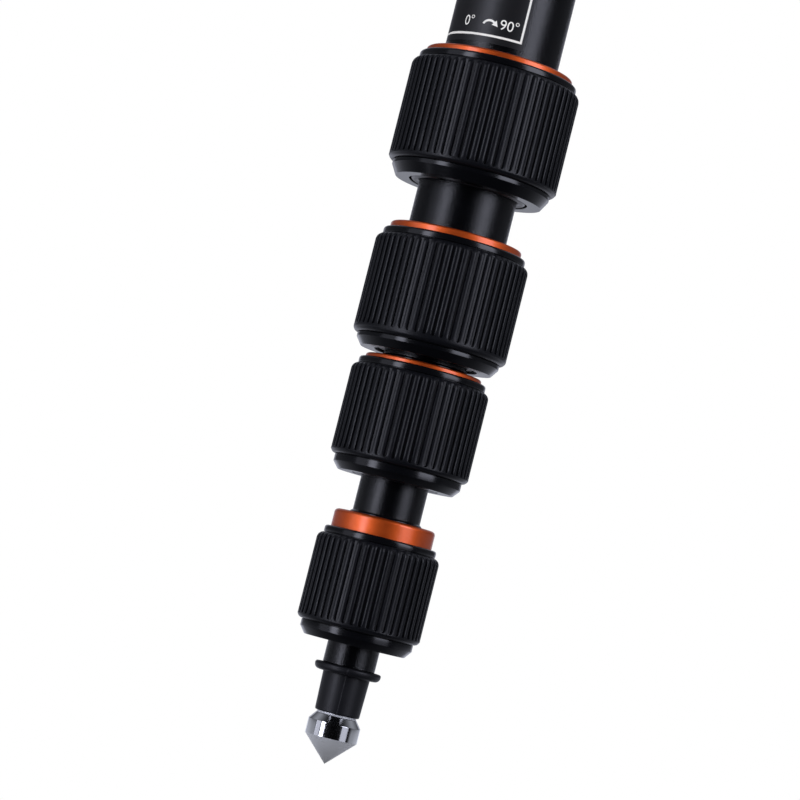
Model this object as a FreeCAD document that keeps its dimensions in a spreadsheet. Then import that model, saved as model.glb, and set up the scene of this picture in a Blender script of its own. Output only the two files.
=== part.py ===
import FreeCAD, Part
import os
import Sketcher

# One leg of a travel tripod: five tubes that telescope and four twist locks.
# The hinge axis is X and the leg hangs down along -Z from the middle of the hinge bore.
# -Y is the leg's outer face. All lengths are millimetres.
# Lock 1 is the top one, and lock k joins tube k to tube k + 1, which runs inside it.

LOCKS = range(1, 5)
TUBES = range(1, 6)
INNER_TUBES = range(2, 6)
TAB_RIBS = 5

NEAR = 1e-4  # two places this close are the same
LEAST_CUT = 1e-3  # a cut that takes less than this much away has missed

SIZES = [
    # The leg and its tubes
    ("leg_length", 320.0),  # hinge centre to spike tip, as the sections stand at rest
    ("tube_1_od", 22.0),
    ("tube_wall", 1.0),
    ("guide_gap", 0.5),  # between one tube and the bore of the next
    ("tube_stagger", 3.0),  # each tube's top stands below the one outside it
    ("top_clearance", 2.0),  # under the floor of the casting's socket
    ("retract_2", 8.0),  # how far each section can still go in from rest
    ("retract_3", 0.0),
    ("retract_4", 6.3),
    ("retract_5", 3.5),
    # Clearances
    ("bond_gap", 0.05),  # glued or stretched on
    ("run_gap", 0.05),  # turning or sliding fit
    # Twist locks: length of each nut, and gap to what stands below it
    ("nut_height_1", 24.1),
    ("nut_height_2", 22.95),
    ("nut_height_3", 21.8),
    ("nut_height_4", 20.85),
    ("gap_1", 9.0),
    ("gap_2", 0.8),
    ("gap_3", 7.1),
    ("gap_4", 4.2),
    ("turns_out_1", 0.0),  # whole turns that the nut is unscrewed at rest
    ("turns_out_2", 0.0),
    ("turns_out_3", 0.0),
    ("turns_out_4", 1.0),
    ("thread_lead", 2.5),
    # Lock nut
    ("lip_reach", 4.3),  # beyond the outside of the tube it is on
    ("lower_lip", 2.2),
    ("upper_lip", 1.3),
    ("lip_chamfer", 1.1),
    ("lip_edge", 0.5),
    ("core_depth", 0.3),  # the grip's seat, below the lips
    ("nut_floor", 2.4),
    ("skirt_spare", 0.5),
    # Grip
    ("grip_reach", 5.35),
    ("grip_lower_round", 1.15),
    ("grip_upper_bevel", 1.1),
    ("groove_depth", 0.5),
    ("groove_floor", 0.42),
    ("groove_mouth", 0.66),
    ("groove_start", 1.4),
    ("groove_count_1", 63),
    ("groove_count_2", 58),
    ("groove_count_3", 53),
    ("groove_count_4", 48),
    # Threaded sleeve and its collar
    ("thread_wall", 2.0),
    ("neck_wall", 0.45),
    ("neck_show", 0.35),
    ("ring_reach", 3.25),
    ("ring_height", 6.0),
    ("ring_show", 1.15),  # above the nut when it is tight
    ("ring_round", 1.3),
    ("seat_height", 6.0),  # conical seat of the collet
    ("seat_flare", 0.9),
    ("ledge_depth", 0.3),  # the tube's stop at the top of the seat
    ("ledge_height", 0.6),
    # Split collet
    ("collet_wall", 2.0),
    ("collet_recess", 0.4),
    ("collet_flange", 1.1),
    ("flange_spare", 0.1),
    ("flange_gap", 0.3),  # to the sleeve when the nut is tight
    ("collet_gap", 0.06),
    ("collet_split", 2.5),
    ("split_angle_1", 26.0),  # clockwise from the outer face, seen from below
    ("split_angle_2", 24.0),
    ("split_angle_3", -21.0),
    ("split_angle_4", 8.0),
    # Guide shims and their keyways
    ("shim_length", 20.0),
    ("shim_drop", 2.0),  # below the tube's top
    ("shim_angle", 160.0),
    ("key_width", 2.2),
    ("key_rise", 0.35),
    ("keyway_spare", 0.05),
    ("stud_radius", 1.5),
    # Foot
    ("cone_height", 5.0),
    ("band_radius", 5.0),
    ("band_height", 2.8),
    ("collar_height", 1.6),
    ("collar_radius", 3.75),
    ("collar_show", 0.2),
    ("foot_lower_radius", 4.28),
    ("foot_upper_radius", 4.5),
    ("foot_height", 7.45),
    ("foot_flange_radius", 6.35),
    ("foot_flange", 1.55),
    ("foot_edge", 0.4),
    ("foot_flange_edge", 0.5),
    ("foot_plug", 12.0),
    ("foot_floor", 3.5),
    ("stud_thread_radius", 2.5),
    ("spike_stud", 11.0),
    ("insert_wall", 0.9),
    ("insert_height", 8.0),
    # Top casting
    ("eye_width", 16.0),
    ("eye_depth", 18.0),
    ("eye_top", 19.0),
    ("eye_round", 6.0),
    ("eye_edge", 1.5),
    ("shoulder_top", 13.0),
    ("shoulder_radius", 8.8),
    ("socket_floor", 22.0),  # below the hinge
    ("socket_depth", 22.0),
    ("socket_wall", 2.2),
    ("socket_taper", 5.0),
    ("socket_edge", 0.8),
    # Hinge bushes
    ("axle_radius", 4.0),
    ("bush_wall", 1.0),
    ("bush_flange_radius", 7.0),
    ("bush_flange", 1.0),
    ("bush_length", 6.0),
    # Angle stop
    ("tab_height", 12.5),  # above the hinge
    ("tab_width", 7.9),
    ("tab_thickness", 6.4),
    ("tab_reach", 3.0),  # beyond the casting's inner face
    ("tab_travel", 5.0),
    ("tab_gap", 0.3),
    ("tab_wall", 4.5),  # from the window to the tip
    ("plate_width", 15.0),
    ("plate_height", 12.0),
    ("plate_thickness", 3.0),
    ("plate_round", 1.2),
    ("rib_width", 1.0),
    ("rib_rise", 0.6),
    ("rib_pitch", 2.2),
    ("window_height", 4.2),
    ("pin_radius", 1.2),
    ("spring_radius", 2.0),
    ("spring_wall", 0.5),
    ("spring_solid", 2.5),  # its length when the stop is pulled right out
]

doc = FreeCAD.newDocument("TripodLeg")
sheet = doc.addObject("Spreadsheet::Sheet", "Leg")
for row, (alias, value) in enumerate(SIZES, start=1):
    sheet.set(f"A{row}", alias)
    sheet.set(f"B{row}", str(value))
    sheet.setAlias(f"B{row}", alias)
doc.recompute()

pieces = []


def number(expression):
    """The value of an expression of the sheet's sizes."""
    return float(sheet.evalExpression(expression))


def bind(thing, **expressions):
    """Tie properties of an object to the sheet. Two underscores stand for a point in a name."""
    for name, expression in expressions.items():
        thing.setExpression(name.replace("__", "."), str(expression))


def new_body(label, height="0", turn="0"):
    """An empty body whose own zero stands at a height on the leg, turned about its axis."""
    body = doc.addObject("PartDesign::Body", label)
    body.Label = label
    body.Placement = FreeCAD.Placement(FreeCAD.Vector(), FreeCAD.Rotation(FreeCAD.Vector(0, 0, 1), 0))
    bind(body, Placement__Base__z=height, Placement__Rotation__Angle=turn)
    pieces.append(body)
    return body


def new_sketch(body, plane, lift="0"):
    """A sketch on one of the body's own planes, lifted off it along its normal."""
    sketch = body.newObject("Sketcher::SketchObject", "Outline")
    support = next(item for item in body.Origin.OriginFeatures if item.Role == plane)
    sketch.AttachmentSupport = [(support, "")]
    sketch.MapMode = "FlatFace"
    bind(sketch, AttachmentOffset__Base__z=lift)
    return sketch


def closed_outline(sketch, corners):
    """Straight lines through corners, each placed by two expressions."""
    count = len(corners)
    places = [FreeCAD.Vector(number(across), number(up), 0) for across, up in corners]
    for i in range(count):
        sketch.addGeometry(Part.LineSegment(places[i], places[(i + 1) % count]))
    for i in range(count):
        sketch.addConstraint(Sketcher.Constraint("Coincident", i, 2, (i + 1) % count, 1))
    for i, (across, up) in enumerate(corners):
        x = sketch.addConstraint(Sketcher.Constraint("DistanceX", -1, 1, i, 1, places[i].x))
        sketch.setExpression(f"Constraints[{x}]", across)
        y = sketch.addConstraint(Sketcher.Constraint("DistanceY", -1, 1, i, 1, places[i].y))
        sketch.setExpression(f"Constraints[{y}]", up)


def rectangle(sketch, half_width, half_height, across="0", up="0"):
    """A rectangle about a middle that two expressions place."""
    left = f"({across}) - {half_width}"
    right = f"({across}) + {half_width}"
    low = f"({up}) - {half_height}"
    high = f"({up}) + {half_height}"
    closed_outline(sketch, [(left, low), (right, low), (right, high), (left, high)])


def circle(sketch, radius, across="0", up="0"):
    """A circle whose middle is placed by two expressions."""
    middle = FreeCAD.Vector(number(across), number(up), 0)
    i = sketch.addGeometry(Part.Circle(middle, FreeCAD.Vector(0, 0, 1), number(radius)))
    x = sketch.addConstraint(Sketcher.Constraint("DistanceX", -1, 1, i, 3, middle.x))
    sketch.setExpression(f"Constraints[{x}]", across)
    y = sketch.addConstraint(Sketcher.Constraint("DistanceY", -1, 1, i, 3, middle.y))
    sketch.setExpression(f"Constraints[{y}]", up)
    r = sketch.addConstraint(Sketcher.Constraint("Radius", i, number(radius)))
    sketch.setExpression(f"Constraints[{r}]", radius)


def turned(body, corners):
    """A solid of revolution about the leg's axis from corners given as radius and height."""
    sketch = new_sketch(body, "XZ_Plane")
    closed_outline(sketch, corners)
    solid = body.newObject("PartDesign::Revolution", "Turned")
    solid.Profile = sketch
    solid.ReferenceAxis = (sketch, ["V_Axis"])
    solid.Angle = 360
    doc.recompute()
    return solid


def pad(body, sketch, length, symmetric=False):
    """Material added on one side of a sketch, or on both."""
    solid = body.newObject("PartDesign::Pad", "Pad")
    solid.Profile = sketch
    solid.SideType = "Symmetric" if symmetric else "One side"
    bind(solid, Length=length)
    doc.recompute()
    return solid


def pocket(body, sketch, length="", symmetric=False):
    """A cut away from the plane on its positive side, or on both. With no length it goes right through."""
    before = body.Shape.Volume
    cut = body.newObject("PartDesign::Pocket", "Pocket")
    cut.Profile = sketch
    cut.SideType = "Symmetric" if symmetric else "One side"
    cut.Reversed = not symmetric
    if length:
        bind(cut, Length=length)
    else:
        cut.Type = "ThroughAll"
    doc.recompute()
    if body.Shape.Volume > before - LEAST_CUT:
        raise RuntimeError(f"{body.Label}: a pocket cuts nothing")
    return cut


def rim_edges(shape, radius, height):
    """Names of the circular edges of one radius at one height of the body."""
    names = []
    for i, edge in enumerate(shape.Edges, start=1):
        if not isinstance(edge.Curve, Part.Circle):
            continue
        same_radius = abs(edge.Curve.Radius - number(radius)) < NEAR
        same_height = abs(edge.Curve.Center.z - number(height)) < NEAR
        if same_radius and same_height:
            names.append(f"Edge{i}")
    if not names:
        raise RuntimeError(f"no rim of radius {radius} at {height}")
    return names


def round_rim(body, radius, height, size):
    """Round a circular edge of a turned piece."""
    base = body.Tip
    names = rim_edges(base.Shape, radius, height)
    fillet = body.newObject("PartDesign::Fillet", "Round")
    fillet.Base = (base, names)
    bind(fillet, Radius=size)
    doc.recompute()


def bevel_rim(body, radius, height, size):
    """Bevel a circular edge of a turned piece."""
    base = body.Tip
    names = rim_edges(base.Shape, radius, height)
    chamfer = body.newObject("PartDesign::Chamfer", "Bevel")
    chamfer.Base = (base, names)
    bind(chamfer, Size=size)
    doc.recompute()


def round_edges(body, name, radius, chosen):
    """Round the edges of the body that a test chooses."""
    base = body.Tip
    edges = [f"Edge{i}" for i, edge in enumerate(base.Shape.Edges, start=1) if chosen(edge)]
    if not edges:
        raise RuntimeError(f"{body.Label}: no edge to round for {name}")
    fillet = body.newObject("PartDesign::Fillet", name)
    fillet.Base = (base, edges)
    bind(fillet, Radius=radius)
    doc.recompute()


# Radii that follow from the tube sizes

def tube_r(k):
    """Outside radius of tube k: each tube is smaller by a wall and a guide gap."""
    return f"(Leg.tube_1_od / 2 - {k - 1} * (Leg.tube_wall + Leg.guide_gap))"


def bore_r(k):
    """Inside radius of tube k."""
    return f"({tube_r(k)} - Leg.tube_wall)"


# Heights that follow from the tip upwards, and tube tops from the socket downwards

tip = "(-Leg.leg_length)"
collar_top = f"({tip} + Leg.cone_height + Leg.band_height + Leg.collar_height)"
foot_bottom = f"({collar_top} + Leg.collar_show)"
foot_top = f"({foot_bottom} + Leg.foot_height + Leg.foot_flange)"
socket_floor = "(-Leg.socket_floor)"

nut_bottom = {}
nut_bottom_tight = {}
ring_top = {}
below = foot_top
for k in reversed(LOCKS):
    nut_bottom[k] = f"({below} + Leg.gap_{k})"
    nut_bottom_tight[k] = f"({nut_bottom[k]} + Leg.turns_out_{k} * Leg.thread_lead)"
    ring_top[k] = f"({nut_bottom_tight[k]} + Leg.nut_height_{k} + Leg.ring_show)"
    below = ring_top[k]

tube_top = {1: socket_floor}
retracted = "0"
for k in INNER_TUBES:
    retracted = f"({retracted} + Leg.retract_{k})"
    staggered = f"(Leg.top_clearance + {k - 2} * Leg.tube_stagger)"
    tube_top[k] = f"({socket_floor} - {staggered} - {retracted})"

# Heights inside a lock, measured from the bottom of its nut when that is tight

flange_bottom = "(Leg.nut_floor + Leg.run_gap)"
flange_top = f"({flange_bottom} + Leg.collet_flange)"
sleeve_bottom = f"({flange_top} + Leg.flange_gap)"
tube_stop = f"({sleeve_bottom} + Leg.seat_height + Leg.ledge_height)"

tube_bottom = {k: f"({nut_bottom_tight[k]} + {tube_stop})" for k in LOCKS}
tube_bottom[5] = foot_top

# Places along Y in the angle stop: its tip, the spring behind the window's end, and the dowel

tab_tip = "(Leg.eye_depth / 2 + Leg.tab_reach)"
spring_length = "(Leg.tab_travel + Leg.spring_solid)"
pin_place = f"({tab_tip} - Leg.tab_wall - {spring_length} - Leg.pin_radius)"


def make_tube(k):
    """A drawn tube, with a pair of keyways in its bore and holes for the shims' studs at its top."""
    length = f"({tube_top[k]} - {tube_bottom[k]})"
    body = new_body(f"tube_{k}", tube_bottom[k])
    sketch = new_sketch(body, "XY_Plane")
    circle(sketch, tube_r(k))
    circle(sketch, bore_r(k))
    pad(body, sketch, length)
    if k in LOCKS:
        reach = f"({bore_r(k)} + Leg.key_rise + Leg.keyway_spare)"
        half = "(Leg.key_width / 2 + Leg.keyway_spare)"
        sketch = new_sketch(body, "XY_Plane")
        rectangle(sketch, reach, half)
        pocket(body, sketch)
    if k in INNER_TUBES:
        sketch = new_sketch(body, "YZ_Plane")
        stud_height = f"({length} - Leg.shim_drop - Leg.shim_length / 2)"
        circle(sketch, "(Leg.stud_radius + Leg.bond_gap)", up=stud_height)
        pocket(body, sketch, symmetric=True)


def make_thread_sleeve(k):
    """The ferrule bonded on the tube's end: a thread, a thin neck above it and the collet's conical seat."""
    thread = f"({tube_r(k)} + Leg.thread_wall)"
    neck = f"({tube_r(k)} + Leg.neck_wall)"
    bore = f"({tube_r(k)} + Leg.bond_gap)"
    ledge = f"({tube_r(k)} - Leg.ledge_depth)"
    stop = "(Leg.seat_height + Leg.ledge_height)"
    shoulder = f"(Leg.nut_height_{k} + Leg.ring_show - Leg.ring_height - {sleeve_bottom})"
    top = f"({shoulder} + Leg.ring_height + Leg.neck_show)"
    body = new_body(f"thread_sleeve_{k}", f"({nut_bottom_tight[k]} + {sleeve_bottom})")
    turned(body, [
        (f"({tube_r(k)} + Leg.seat_flare)", "0"),
        (thread, "0"),
        (thread, shoulder),
        (neck, shoulder),
        (neck, top),
        (bore, top),
        (bore, stop),
        (ledge, stop),
        (ledge, "Leg.seat_height"),
    ])


def make_accent_ring(k):
    """The anodised collar pressed on the sleeve's neck. It shows how far the nut is unscrewed."""
    inner = f"({tube_r(k)} + Leg.neck_wall + Leg.bond_gap)"
    outer = f"({tube_r(k)} + Leg.ring_reach)"
    body = new_body(f"accent_ring_{k}", f"({ring_top[k]} - Leg.ring_height)")
    turned(body, [
        (inner, "0"),
        (outer, "0"),
        (outer, "Leg.ring_height"),
        (inner, "Leg.ring_height"),
    ])
    round_rim(body, outer, "Leg.ring_height", "Leg.ring_round")


def make_lock_nut(k):
    """The nut: a skirt over the collar, the thread's bore, and a floor whose mouth holds the collet."""
    height = f"Leg.nut_height_{k}"
    lip = f"({tube_r(k)} + Leg.lip_reach)"
    core = f"({lip} - Leg.core_depth)"
    skirt = f"({tube_r(k)} + Leg.ring_reach + Leg.run_gap)"
    thread = f"({tube_r(k)} + Leg.thread_wall + Leg.run_gap)"
    mouth = f"({tube_r(k + 1)} + Leg.collet_wall + Leg.run_gap)"
    skirt_bottom = f"({height} - Leg.ring_height + Leg.ring_show - Leg.skirt_spare)"
    body = new_body(f"lock_nut_{k}", nut_bottom[k])
    turned(body, [
        (mouth, "0"),
        (f"({lip} - Leg.lip_chamfer)", "0"),
        (lip, "Leg.lip_chamfer"),
        (lip, "Leg.lower_lip"),
        (core, "Leg.lower_lip"),
        (core, f"({height} - Leg.upper_lip)"),
        (lip, f"({height} - Leg.upper_lip)"),
        (lip, height),
        (skirt, height),
        (skirt, skirt_bottom),
        (thread, skirt_bottom),
        (thread, "Leg.nut_floor"),
        (mouth, "Leg.nut_floor"),
    ])
    bevel_rim(body, lip, height, "Leg.lip_edge")


def make_grip(k):
    """The rubber sleeve stretched on the nut. Its grooves run out at the top and stop short of the bottom."""
    height = f"(Leg.nut_height_{k} - Leg.lower_lip - Leg.upper_lip - 2 * Leg.bond_gap)"
    inner = f"({tube_r(k)} + Leg.lip_reach - Leg.core_depth + Leg.bond_gap)"
    outer = f"({tube_r(k)} + Leg.grip_reach)"
    body = new_body(f"grip_{k}", f"({nut_bottom[k]} + Leg.lower_lip + Leg.bond_gap)")
    turned(body, [(inner, "0"), (outer, "0"), (outer, height), (inner, height)])
    round_rim(body, outer, "0", "Leg.grip_lower_round")
    bevel_rim(body, outer, height, "Leg.grip_upper_bevel")
    smooth = body.Shape.Volume
    sketch = new_sketch(body, "XY_Plane", "Leg.groove_start")
    root = f"({outer} - Leg.groove_depth)"
    beyond = f"({outer} + Leg.groove_depth)"
    wide = "(Leg.groove_mouth - Leg.groove_floor / 2)"
    closed_outline(sketch, [
        (root, "-Leg.groove_floor / 2"),
        (beyond, f"-{wide}"),
        (beyond, wide),
        (root, "Leg.groove_floor / 2"),
    ])
    groove = pocket(body, sketch)
    ring = body.newObject("PartDesign::PolarPattern", "Grooves")
    ring.Originals = [groove]
    ring.Axis = (sketch, ["N_Axis"])
    ring.Angle = 360
    bind(ring, Occurrences=f"Leg.groove_count_{k}")
    body.Tip = ring
    doc.recompute()
    one = smooth - groove.Shape.Volume
    cut = (smooth - ring.Shape.Volume) / one
    if abs(cut - number(f"Leg.groove_count_{k}")) > 0.5:
        raise RuntimeError(f"{body.Label}: the grooves are not all cut")


def make_collet(k):
    """The split ring that the conical seat squeezes on the inner tube. It shows in the nut's mouth."""
    inner = f"({tube_r(k + 1)} + Leg.run_gap)"
    skirt = f"({tube_r(k + 1)} + Leg.collet_wall)"
    flange = f"({tube_r(k)} + Leg.thread_wall - Leg.flange_spare)"
    base = f"({tube_r(k)} + Leg.seat_flare - Leg.collet_gap)"
    top = f"({tube_r(k)} - Leg.ledge_depth - Leg.collet_gap)"
    height = f"({sleeve_bottom} + Leg.seat_height)"
    body = new_body(f"collet_{k}", nut_bottom[k], f"-90 - Leg.split_angle_{k}")
    turned(body, [
        (inner, "Leg.collet_recess"),
        (skirt, "Leg.collet_recess"),
        (skirt, flange_bottom),
        (flange, flange_bottom),
        (flange, flange_top),
        (base, flange_top),
        (base, sleeve_bottom),
        (top, height),
        (inner, height),
    ])
    sketch = new_sketch(body, "XY_Plane")
    rectangle(sketch, flange, "Leg.collet_split / 2", across=flange)
    pocket(body, sketch)


def primitive(kind, name, **expressions):
    """A basic solid with its sizes and place tied to the sheet."""
    solid = doc.addObject(f"Part::{kind}", name)
    bind(solid, **expressions)
    return solid


def joined(label, kind, solids):
    """One piece out of several solids: Fuse them, or Cut the later ones from the first."""
    if kind == "Cut":
        tool = solids[1]
        if len(solids) > 2:
            tool = doc.addObject("Part::MultiFuse", f"{label}_tools")
            tool.Shapes = solids[1:]
        piece = doc.addObject("Part::Cut", label)
        piece.Base = solids[0]
        piece.Tool = tool
    else:
        piece = doc.addObject("Part::MultiFuse", label)
        piece.Shapes = solids
    piece.Label = label
    return piece


def make_guide_shims(k):
    """Two half shells at the tube's top, each with a key for the keyway and a stud in the tube's wall."""
    stud_depth = "(Leg.tube_wall - Leg.key_rise - Leg.keyway_spare - Leg.run_gap)"
    inner = f"({tube_r(k)} + Leg.run_gap)"
    outer = f"({bore_r(k - 1)} - Leg.run_gap)"
    for side, turn in (("left", 180), ("right", 0)):
        label = f"guide_shim_{k}_{side}"
        shell = primitive(
            "Cylinder",
            f"{label}_shell",
            Radius=outer,
            Height="Leg.shim_length",
            Angle="Leg.shim_angle",
        )
        shell.Placement.Rotation = FreeCAD.Rotation(FreeCAD.Vector(0, 0, 1), 0)
        bind(shell, Placement__Rotation__Angle="-Leg.shim_angle / 2")
        core = primitive("Cylinder", f"{label}_core", Radius=inner, Height="Leg.shim_length")
        half = joined(f"{label}_half", "Cut", [shell, core])
        key = primitive(
            "Box",
            f"{label}_key",
            Length=f"{outer} + Leg.key_rise - ({inner} + {outer}) / 2",
            Width="Leg.key_width",
            Height="Leg.shim_length",
            Placement__Base__x=f"({inner} + {outer}) / 2",
            Placement__Base__y="-Leg.key_width / 2",
        )
        stud = primitive(
            "Cylinder",
            f"{label}_stud",
            Radius="Leg.stud_radius",
            Height=f"({inner} + {outer}) / 2 - {tube_r(k)} + {stud_depth}",
            Placement__Base__x=f"{tube_r(k)} - {stud_depth}",
            Placement__Base__z="Leg.shim_length / 2",
        )
        stud.Placement.Rotation = FreeCAD.Rotation(FreeCAD.Vector(0, 1, 0), 90)
        piece = joined(label, "Fuse", [half, key, stud])
        piece.Placement.Rotation = FreeCAD.Rotation(FreeCAD.Vector(0, 0, 1), turn)
        bind(piece, Placement__Base__z=f"{tube_top[k]} - Leg.shim_drop - Leg.shim_length")
        pieces.append(piece)


def make_foot_sleeve():
    """The moulded foot: a plug in the last tube, a flange under it and a sleeve over the spike's neck."""
    flange_bottom = "Leg.foot_height"
    flange_top = "(Leg.foot_height + Leg.foot_flange)"
    plug = f"({bore_r(5)} - Leg.bond_gap)"
    top = f"({flange_top} + Leg.foot_plug)"
    hole = "(Leg.stud_thread_radius + Leg.bond_gap)"
    pocket_r = "(Leg.stud_thread_radius + Leg.insert_wall + Leg.bond_gap)"
    body = new_body("foot_sleeve", foot_bottom)
    turned(body, [
        (hole, "0"),
        ("Leg.foot_lower_radius", "0"),
        ("Leg.foot_upper_radius", flange_bottom),
        ("Leg.foot_flange_radius", flange_bottom),
        ("Leg.foot_flange_radius", flange_top),
        (plug, flange_top),
        (plug, top),
        (pocket_r, top),
        (pocket_r, "Leg.foot_floor"),
        (hole, "Leg.foot_floor"),
    ])
    bevel_rim(body, "Leg.foot_lower_radius", "0", "Leg.foot_edge")
    bevel_rim(body, "Leg.foot_flange_radius", flange_bottom, "Leg.foot_flange_edge")


def make_spike_insert():
    """The brass threaded bush held in the foot sleeve."""
    inner = "(Leg.stud_thread_radius + Leg.bond_gap)"
    outer = "(Leg.stud_thread_radius + Leg.insert_wall)"
    body = new_body("spike_insert", f"({foot_bottom} + Leg.foot_floor)")
    turned(body, [(inner, "0"), (outer, "0"), (outer, "Leg.insert_height"), (inner, "Leg.insert_height")])


def make_spike():
    """The turned steel spike: a square-ended stud, a collar, a polished band and a right-angled cone."""
    band_top = "(Leg.cone_height + Leg.band_height)"
    collar = f"({band_top} + Leg.collar_height)"
    neck = f"({collar} + Leg.collar_show)"
    top = f"({neck} + Leg.spike_stud)"
    body = new_body("spike", tip)
    turned(body, [
        ("0", "0"),
        ("Leg.band_radius", "Leg.cone_height"),
        ("Leg.band_radius", band_top),
        ("Leg.collar_radius", collar),
        ("Leg.collar_radius", neck),
        ("Leg.stud_thread_radius", neck),
        ("Leg.stud_thread_radius", top),
        ("0", top),
    ])


def make_leg_casting():
    """The top fitting: a socket on the tube, a coned shoulder and a flat eye with the stop's slot."""
    bore = f"({tube_r(1)} + Leg.bond_gap)"
    socket = f"({bore} + Leg.socket_wall)"
    hinge = "(Leg.socket_depth + Leg.socket_floor)"
    shoulder_low = "(Leg.socket_depth - Leg.socket_taper)"
    shoulder_high = f"({hinge} - Leg.shoulder_top)"
    body = new_body("leg_casting", "-(Leg.socket_floor + Leg.socket_depth)")
    top = f"({hinge} + Leg.eye_top)"
    middle = f"(({top} + Leg.socket_depth) / 2)"
    half_height = f"(({top} - Leg.socket_depth) / 2)"
    sketch = new_sketch(body, "YZ_Plane")
    rectangle(sketch, "Leg.eye_depth / 2", half_height, up=middle)
    pad(body, sketch, "Leg.eye_width", symmetric=True)
    round_edges(body, "Crown", "Leg.eye_round", lambda edge: crown_edge(edge, number(top)))
    round_edges(body, "Sides", "Leg.eye_edge", lambda edge: side_edge(edge, number("Leg.eye_width / 2")))

    turned(body, [
        ("0", "0"),
        (f"({socket} - Leg.socket_edge)", "0"),
        (socket, "Leg.socket_edge"),
        (socket, shoulder_low),
        ("Leg.shoulder_radius", shoulder_high),
        ("0", shoulder_high),
    ])

    sketch = new_sketch(body, "XY_Plane")
    circle(sketch, bore)
    pocket(body, sketch, "Leg.socket_depth")

    sketch = new_sketch(body, "YZ_Plane")
    circle(sketch, "(Leg.axle_radius + Leg.bush_wall + Leg.bond_gap)", up=hinge)
    pocket(body, sketch, symmetric=True)

    sketch = new_sketch(body, "XZ_Plane")
    slot_half_width = "(Leg.tab_width / 2 + Leg.run_gap)"
    slot_half_height = "(Leg.tab_thickness / 2 + Leg.run_gap)"
    rectangle(sketch, slot_half_width, slot_half_height, up=f"({hinge} + Leg.tab_height)")
    pocket(body, sketch, symmetric=True)

    sketch = new_sketch(body, "YZ_Plane")
    circle(sketch, "(Leg.pin_radius + Leg.bond_gap)", pin_place, f"({hinge} + Leg.tab_height)")
    pocket(body, sketch, symmetric=True)


def crown_edge(edge, height):
    """Whether an edge runs across the top of the eye, from side to side."""
    ends = [vertex.Point for vertex in edge.Vertexes]
    level = all(abs(point.z - height) < NEAR for point in ends)
    return level and abs(ends[0].y - ends[-1].y) < NEAR


def side_edge(edge, half_width):
    """Whether an edge bounds one of the eye's flat sides, along its front, back or top."""
    ends = [vertex.Point for vertex in edge.Vertexes]
    on_side = all(abs(abs(point.x) - half_width) < NEAR for point in ends)
    if isinstance(edge.Curve, Part.Line):
        return on_side and abs(edge.Curve.Direction.x) < NEAR
    return on_side and isinstance(edge.Curve, Part.Circle)


def corner_edge(edge):
    """Whether a straight edge runs from the leg's outer face to its inner face."""
    return abs(abs(edge.Curve.Direction.y) - 1) < NEAR


def make_pivot_bush(side, turn):
    """A flanged bush pressed into the eye from one side."""
    bush = primitive(
        "Cylinder",
        f"{side}_barrel",
        Radius="Leg.axle_radius + Leg.bush_wall",
        Height="Leg.bush_length + Leg.bush_flange",
    )
    flange = primitive(
        "Cylinder",
        f"{side}_flange",
        Radius="Leg.bush_flange_radius",
        Height="Leg.bush_flange",
        Placement__Base__z="Leg.bush_length",
    )
    solid = joined(f"{side}_solid", "Fuse", [bush, flange])
    axle = primitive(
        "Cylinder",
        f"{side}_axle",
        Radius="Leg.axle_radius",
        Height="Leg.bush_length + Leg.bush_flange",
    )
    piece = joined(f"pivot_bush_{side}", "Cut", [solid, axle])
    piece.Placement.Rotation = FreeCAD.Rotation(FreeCAD.Vector(0, 1, 0), turn)
    inward = "(Leg.eye_width / 2 - Leg.bush_length)"
    bind(piece, Placement__Base__x=inward if turn > 0 else f"-{inward}")
    pieces.append(piece)


def make_angle_tab():
    """The pull-out stop: a ribbed plate on the leg's outer face and a bar with a window for the dowel."""
    plate_back = "(Leg.eye_depth / 2 + Leg.tab_gap)"
    plate_front = f"({plate_back} + Leg.plate_thickness)"
    window_half = f"({spring_length} / 2 + Leg.pin_radius + Leg.run_gap / 2)"
    window_middle = f"({pin_place} - Leg.pin_radius - Leg.run_gap + {window_half})"
    body = new_body("angle_tab", "Leg.tab_height")

    sketch = new_sketch(body, "XZ_Plane", plate_back)
    rectangle(sketch, "Leg.plate_width / 2", "Leg.plate_height / 2")
    pad(body, sketch, "Leg.plate_thickness")
    round_edges(body, "Corners", "Leg.plate_round", corner_edge)

    sketch = new_sketch(body, "XZ_Plane", f"-{tab_tip}")
    rectangle(sketch, "Leg.tab_width / 2", "Leg.tab_thickness / 2")
    pad(body, sketch, f"({tab_tip} + {plate_back})")

    sketch = new_sketch(body, "XZ_Plane", plate_front)
    lowest = f"(-{(TAB_RIBS - 1) // 2} * Leg.rib_pitch)"
    rectangle(sketch, "(Leg.plate_width / 2 - Leg.plate_round)", "Leg.rib_width / 2", up=lowest)
    rib = pad(body, sketch, "Leg.rib_rise")
    ribs = body.newObject("PartDesign::LinearPattern", "Ribs")
    ribs.Originals = [rib]
    ribs.Direction = (sketch, ["V_Axis"])
    ribs.Occurrences = TAB_RIBS
    bind(ribs, Length=f"{TAB_RIBS - 1} * Leg.rib_pitch")
    body.Tip = ribs
    doc.recompute()

    sketch = new_sketch(body, "YZ_Plane")
    rectangle(sketch, window_half, "Leg.window_height / 2", across=window_middle)
    pocket(body, sketch, symmetric=True)


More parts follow.
